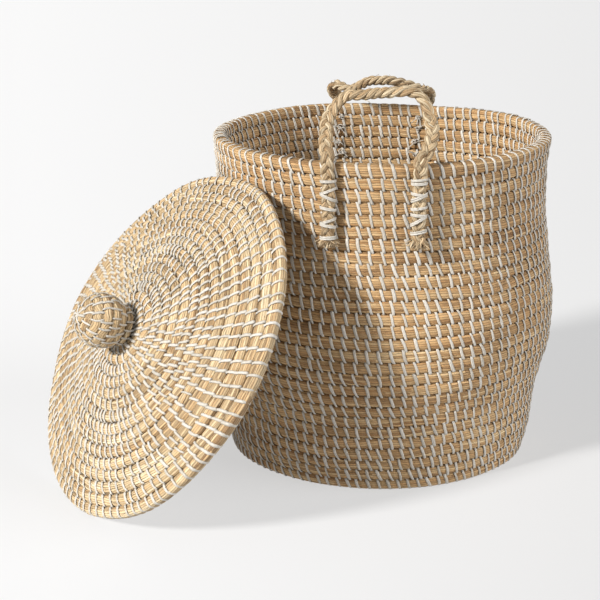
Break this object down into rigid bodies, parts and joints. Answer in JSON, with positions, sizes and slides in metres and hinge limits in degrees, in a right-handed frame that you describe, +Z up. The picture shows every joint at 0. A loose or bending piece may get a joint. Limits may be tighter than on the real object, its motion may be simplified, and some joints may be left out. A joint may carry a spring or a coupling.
{
  "type": "lidded coiled seagrass basket",
  "caption": "Round bellied storage basket of coiled seagrass sewn with white cord, with braided rope handles and a separate domed lid with a ball knob leaning on it.",
  "frame": {"origin": "centre of the basket's underside, on the surface that it stands on", "axes": "+Z up through the basket's mouth; -Y is the front, where one handle is; the lid leans on the front left, at -X and -Y"},
  "size_m": [0.6184, 0.594, 0.4748],
  "materials": {
    "seagrass_coil": "matt dried grass with a faint sheen",
    "seagrass_braid": "matt dried grass, plaited",
    "seagrass_wad": "matt dried grass, loose",
    "sewing_cord": "satin white plastic cord"
  },
  "bodies": {
    "basket": {"base_coil": "seagrass_coil", "wall_coil": "seagrass_coil", "rim_coil": "seagrass_coil", "front_left_leg": "seagrass_braid", "front_right_leg": "seagrass_braid", "back_left_leg": "seagrass_braid", "back_right_leg": "seagrass_braid", "front_left_lashing": "sewing_cord", "front_right_lashing": "sewing_cord", "back_left_lashing": "sewing_cord", "back_right_lashing": "sewing_cord"},
    "front_handle": {"front_handle_arch": "seagrass_braid"},
    "back_handle": {"back_handle_arch": "seagrass_braid"},
    "lid": {"lid_coil": "seagrass_coil", "knob_neck": "seagrass_coil", "knob_coil": "seagrass_coil", "knob_core": "seagrass_wad"}
  },
  "joints": [
    {"name": "front_handle_fold", "type": "hinge", "parent": "basket", "child": "front_handle", "pos_m": [-0.01042, -0.20574, 0.401], "axis": [0.9987, -0.0506, 0], "range_deg": [-57, 118]},
    {"name": "back_handle_fold", "type": "hinge", "parent": "basket", "child": "back_handle", "pos_m": [0, 0.206, 0.401], "axis": [-1, 0, 0], "range_deg": [-21, 154]},
    {"name": "lid_lift", "type": "slide", "parent": "basket", "child": "lid", "axis": [-0.7143, -0.4639, 0.524], "range_m": [0, 0.25]}
  ]
}
